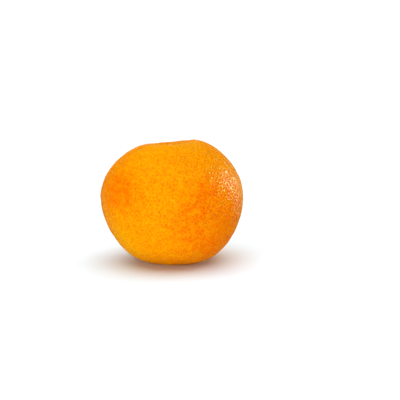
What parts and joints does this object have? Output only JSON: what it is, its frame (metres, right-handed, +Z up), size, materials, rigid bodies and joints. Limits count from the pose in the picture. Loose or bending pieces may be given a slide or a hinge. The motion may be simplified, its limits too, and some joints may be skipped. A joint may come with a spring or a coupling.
{
  "type": "mandarin",
  "caption": "Whole ripe mandarin with a pitted rind, its green calyx and a cut stem stub in the dip at the stem end, resting on a small flat spot.",
  "frame": {"origin": "on the floor under the middle of the fruit's box, in the plane of the flat spot that the fruit rests on", "axes": "+Z up, close to the stem end; -Y towards the viewer of the picture; +X to the viewer's right"},
  "size_m": [0.0616, 0.062, 0.0524],
  "materials": {
    "rind": "waxy pitted citrus rind, orange with a yellower stem side",
    "calyx_green": "dull leathery olive green, browner at the lobes' edges",
    "cut_stem": "dry straw-coloured cut wood"
  },
  "bodies": {
    "root": {"fruit": "rind", "calyx": "calyx_green", "stem_stub": "cut_stem"}
  },
  "joints": []
}
